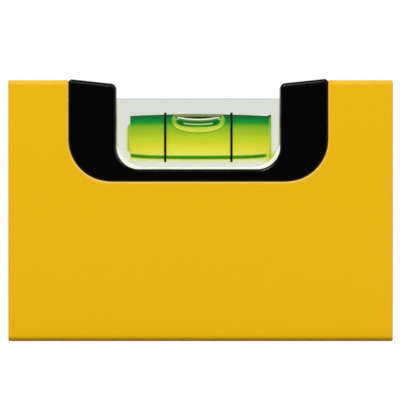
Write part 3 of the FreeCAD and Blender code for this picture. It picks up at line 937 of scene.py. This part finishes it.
def outward(mesh, inward=False):
    """Merge a mesh's doubles and turn its faces outwards, or inwards for a hollow."""
    work = bmesh.new()
    work.from_mesh(mesh)
    bmesh.ops.remove_doubles(work, verts=work.verts, dist=MERGE_DISTANCE)
    bmesh.ops.recalc_face_normals(work, faces=work.faces)
    if inward:
        bmesh.ops.reverse_faces(work, faces=work.faces)
    work.to_mesh(mesh)
    work.free()


def grown_piece(name, tree, sizes):
    """Run a tree and put its closed, smooth mesh into the scene."""
    mesh = grown(name, tree, sizes)
    outward(mesh)
    smooth(mesh, 40)
    return link_piece(name, mesh)


def acrylic_block(acrylic, wall):
    """Block and flange in one, with the hollow of the bore inside."""
    half = (BLOCK_HIGH.x - BLOCK_LOW.x) / 2 - FLANGE_REACH
    face = box_corners(VIAL_X - half - LEFT_ROOM, VIAL_X + half, BLOCK_LOW.z, BLOCK_HIGH.z)
    face = rounded(face, (BLOCK_CORNER, BLOCK_CORNER, 0, 0), steps=32)
    block = prism(face, BLOCK_LOW.y, BLOCK_HIGH.y)
    corners = box_corners(BLOCK_LOW.x, BLOCK_HIGH.x, BORE_Z - FLANGE_DROP, BLOCK_HIGH.z)
    flange = prism(corners, -FLANGE_HALF_DEPTH, FLANGE_HALF_DEPTH)
    mesh = carved(block, "acrylic_block", adds=[flange])
    shell = paint(softened(mesh, "acrylic_block", BLOCK_ROUNDING, crisp=True), acrylic, wall)
    hollow = grown("bore", barrel_tree(wall), barrel_sizes(BORE_RISE, 0.0))
    outward(hollow, inward=True)
    hollow.shade_smooth()
    joined = bmesh.new()
    joined.from_mesh(shell.data)
    outer = len(joined.faces)
    joined.from_mesh(hollow)
    joined.faces.ensure_lookup_table()
    for inner_face in joined.faces[outer:]:
        inner_face.material_index = 1
    joined.to_mesh(shell.data)
    joined.free()
    return shell


def bubble_skin(work):
    """Rows of points over the oval patch of the bore's wall that the bubble touches."""
    widest = math.acos((OVAL_Z - OVAL_HALF_HEIGHT - BORE_Z) / BORE_RADIUS)
    skin = []
    for row in range(BUBBLE_ROWS + 1):
        turn = -widest + 2 * widest * row / BUBBLE_ROWS
        height = abs(BORE_Z + BORE_RADIUS * math.cos(turn) - OVAL_Z) / OVAL_HALF_HEIGHT
        reach = OVAL_HALF * max(0.0, 1 - height**OVAL_POWER) ** (1 / OVAL_POWER)
        line = []
        for column in range(BUBBLE_COLUMNS + 1):
            along = reach * (2 * column / BUBBLE_COLUMNS - 1)
            radius = bore_radius(along) + SKIN_RISE
            spot = (VIAL_X + along, radius * math.sin(turn), BORE_Z + radius * math.cos(turn))
            line.append(work.verts.new(spot))
        skin.append(line)
    return skin


def bubble_lens(material):
    """Bubble: its oval skin, closed below by straight lines across the level."""
    work = bmesh.new()
    skin = bubble_skin(work)
    for here, there in zip(skin, skin[1:]):
        for column in range(BUBBLE_COLUMNS):
            work.faces.new((here[column], here[column + 1], there[column + 1], there[column]))
    crown = BUBBLE_ROWS // 2
    for edge in (0, BUBBLE_COLUMNS):
        for step in range(crown):
            front, front_next = skin[crown - step][edge], skin[crown - step - 1][edge]
            rear, rear_next = skin[crown + step][edge], skin[crown + step + 1][edge]
            corners = [front, front_next, rear_next]
            if step > 0:
                corners.append(rear)
            work.faces.new(corners)
    mesh = bpy.data.meshes.new("bubble_lens")
    work.to_mesh(mesh)
    work.free()
    outward(mesh)
    smooth(mesh, 35)
    return paint(link_piece("bubble_lens", mesh), material)


def finished(piece, body, slot, *nodes):
    """Put a piece on the body that it rides on and hide the CAD nodes that it stands for. Its material slot
    is not used.
    """
    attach(piece, body)
    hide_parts(*nodes)


def build_level():
    """Make every piece of the level and its finish."""
    # Black saddle with a painted highlight along its horns' tops.
    black = moulded_plastic(
        "saddle_plastic", srgb(2, 2, 2), roughness=0.2, gloss=0.28, painted_highlight=srgb(50, 50, 50)
    )
    plug = moulded_plastic("plug_plastic", srgb(30, 30, 31), roughness=0.5, gloss=0.3)
    ring_black = moulded_plastic("ring_black", srgb(6, 8, 4), roughness=0.6, gloss=0.05)
    finished(paint(painted_profile(), yellow_coat()), "level", "yellow_coat", "body_profile")
    finished(paint(saddle_moulding(), black), "level", "saddle_plastic", "vial_saddle")
    block = acrylic_block(clear_acrylic(), wetted_wall())
    finished(block, "level", "clear_acrylic", "vial_block", "vial_end_stopper")
    spirit_sizes = barrel_sizes(SPIRIT_RISE, WET_GAP)
    spirit = grown_piece("spirit_barrel", barrel_tree(spirit_colour()), spirit_sizes)
    finished(spirit, "level", "spirit", "spirit_fill")
    tree = ring_tree(ring_black)
    for name, side in (("left", -1), ("right", 1)):
        ring = grown_piece(f"ring_line_{name}", tree, ring_sizes(side))
        finished(ring, "level", "ring_black", f"reading_ring_{name}")
    finished(bubble_lens(bubble_colour()), "bubble", "air", "air_bubble")
    paint(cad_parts["resin_bed"], white_resin())
    for name in ("end_plug_left", "end_plug_right"):
        paint(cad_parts[name], plug)


def studio_floor():
    """White floor that keeps the level's shadow."""
    material, maker = new_material("studio_floor")
    plain = maker.diffuse(grey(0.6))
    dim = maker.diffuse(grey(0.04))
    glow = maker.node("ShaderNodeEmission", None, {"Color": WHITE, "Strength": 0.78})[0]
    seen = maker.node("ShaderNodeAddShader", None, {0: glow, 1: maker.diffuse(grey(0.4))})[0]
    path = maker.node("ShaderNodeLightPath")
    bounce = maker.mix_shaders(path["Is Glossy Ray"], plain, dim)
    shown = maker.larger(path["Is Camera Ray"], path["Is Transmission Ray"])
    surface(maker, maker.mix_shaders(shown, bounce, seen))
    mesh = bpy.data.meshes.new("studio_floor")
    reach = 4.0
    corners = [(-reach, -reach, 0), (reach, -reach, 0), (reach, reach, 0), (-reach, reach, 0)]
    mesh.from_pydata(corners, [], [(0, 1, 2, 3)])
    paint(link_piece("studio_floor", mesh), material)


def studio_world():
    """White where it is seen, darker where it lights the level or mirrors the room in front and above."""
    world = bpy.data.worlds.new("studio")
    world.use_nodes = True
    world.node_tree.nodes.clear()
    maker = Maker(world.node_tree)
    direction = maker.node("ShaderNodeTexCoord")["Generated"]
    parts = maker.node("ShaderNodeSeparateXYZ", None, {0: direction})
    behind = maker.fall(0 - parts[1], 0.05, 0.5) * maker.fall(parts[2], 0.45, 0.8)
    path = maker.node("ShaderNodeLightPath")
    seen = maker.larger(path["Is Camera Ray"], path["Is Transmission Ray"])
    seen = maker.larger(seen, path["Is Glossy Ray"] * behind)
    white, soft, dark = [
        maker.node("ShaderNodeBackground", None, {"Color": WHITE, "Strength": strength})[0]
        for strength in (1.0, 0.55, 0.015)
    ]
    mirror = maker.mix_shaders(path["Is Glossy Ray"], soft, dark)
    maker.node("ShaderNodeOutputWorld", None, {"Surface": maker.mix_shaders(seen, mirror, white)})
    bpy.context.scene.world = world


def soft_lamp(name, spot, power, size):
    """Square lamp that points at the level."""
    lamp = bpy.data.lights.new(name, "AREA")
    lamp.energy = power
    lamp.size = size
    holder = bpy.data.objects.new(name, lamp)
    holder.location = spot
    aim = Vector((0, 0, BODY_HIGH.z / 2)) - Vector(spot)
    holder.rotation_euler = aim.to_track_quat("-Z", "Y").to_euler()
    bpy.context.scene.collection.objects.link(holder)


def photo_camera():
    """Long lens straight in front, at the photo's framing."""
    lens = bpy.data.cameras.new("photo_camera")
    lens.lens = 1000
    lens.sensor_width = 36
    lens.clip_start = 0.05
    lens.clip_end = 20
    holder = bpy.data.objects.new("photo_camera", lens)
    distance = PHOTO_WIDTH * lens.lens / lens.sensor_width
    middle_x = (BODY_LOW.x + BODY_HIGH.x) / 2 + PHOTO_ASIDE
    holder.location = (middle_x, BODY_LOW.y - distance, PHOTO_HEIGHT)
    holder.rotation_euler = (math.pi / 2, 0, 0)
    bpy.context.scene.collection.objects.link(holder)
    bpy.context.scene.camera = holder


build_level()
studio_floor()
studio_world()
soft_lamp("key", (-0.25, -0.7, 0.65), power=4.05, size=0.25)
soft_lamp("fill", (0.55, -0.5, 0.4), power=1.2, size=0.5)
soft_lamp("rear", (0.1, 0.6, 0.6), power=1.5, size=0.5)
photo_camera()
bpy.context.scene.view_settings.view_transform = "Standard"
